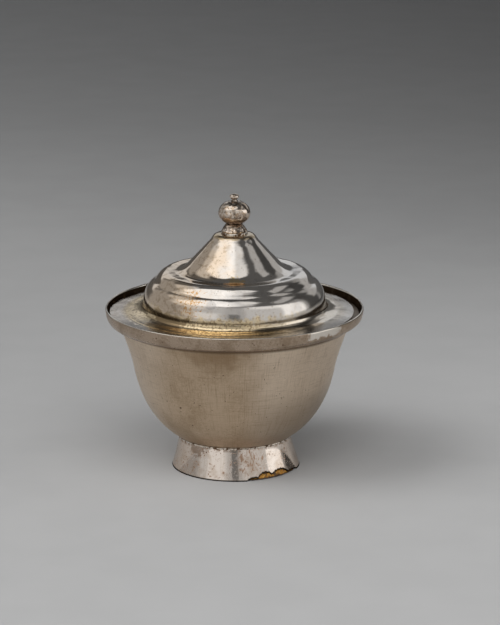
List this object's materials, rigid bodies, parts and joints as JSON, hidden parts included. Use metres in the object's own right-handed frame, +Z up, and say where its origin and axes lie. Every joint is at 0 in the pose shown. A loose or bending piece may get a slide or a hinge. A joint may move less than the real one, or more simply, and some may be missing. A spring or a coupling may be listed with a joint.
{
  "type": "covered sugar bowl",
  "caption": "Round footed silver bowl with a railed rim and a lift-off domed cover carrying a ball finial.",
  "frame": {"origin": "on the table under the centre of the foot ring", "axes": "+Z up along the axis of the bowl and cover, -Y towards the viewer of the picture, +X to the viewer's right"},
  "size_m": [0.1016, 0.1016, 0.1097],
  "materials": {
    "satin_silver": "satin silver, finely brushed upright, warm grey with small tarnish specks",
    "band_silver": "satin silver with rubbed edges and a dark line of tarnish underneath",
    "foot_silver": "polished silver with brown tarnish specks and a ragged solder line",
    "bright_silver": "mirror-polished silver, uneven, with golden-brown tarnish in the hollows",
    "finial_silver": "polished silver, dented, with brown tarnish underneath",
    "amber_wax": "lumpy amber-brown wax"
  },
  "bodies": {
    "bowl": {"bowl": "satin_silver", "rim_band": "band_silver", "foot_ring": "foot_silver", "foot_edge_fill": "amber_wax"},
    "cover": {"cover": "bright_silver", "finial_collar": "finial_silver", "finial_ball_lower": "finial_silver", "finial_ball_upper": "finial_silver", "finial_pin": "finial_silver", "pin_washer": "finial_silver"}
  },
  "joints": [
    {"name": "cover_lift", "type": "slide", "parent": "bowl", "child": "cover", "axis": [0, 0, 1], "range_m": [0, 0.06]}
  ]
}
